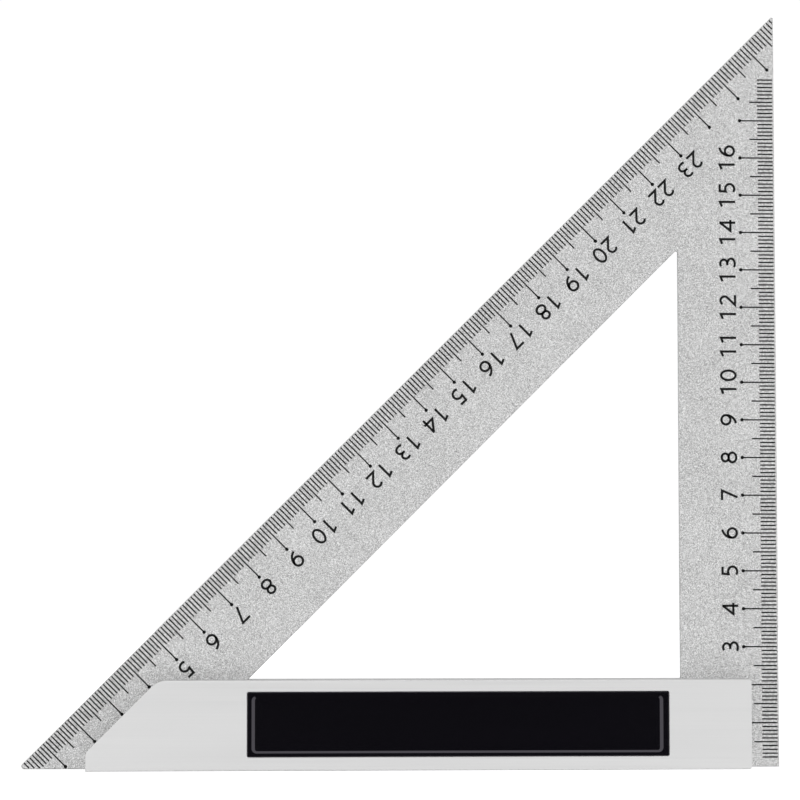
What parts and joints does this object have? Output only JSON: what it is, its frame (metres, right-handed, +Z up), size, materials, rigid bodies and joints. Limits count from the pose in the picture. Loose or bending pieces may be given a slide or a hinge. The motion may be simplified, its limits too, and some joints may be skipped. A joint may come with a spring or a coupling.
{
  "type": "speed square",
  "caption": "Triangular steel try and mitre square with a triangular window, held along its base in a two-part aluminium handle with black inserts.",
  "frame": {"origin": "middle of the bounding box's base, on the surface that the handle stands on, in the blade's middle plane", "axes": "+X along the handle towards its heel and the blade's upright edge, +Y from the front cheek to the back cheek, +Z up along the upright arm"},
  "size_m": [0.1988, 0.016, 0.1997],
  "materials": {
    "blade_steel": "fine granular satin",
    "handle_aluminium": "satin with fine lines along its length",
    "insert_plastic": "semi-gloss moulded",
    "rivet_steel": "plain"
  },
  "bodies": {
    "root": {"blade": "blade_steel", "front_cheek": "handle_aluminium", "back_cheek": "handle_aluminium", "front_insert": "insert_plastic", "back_insert": "insert_plastic", "rivets": "rivet_steel"}
  },
  "joints": []
}
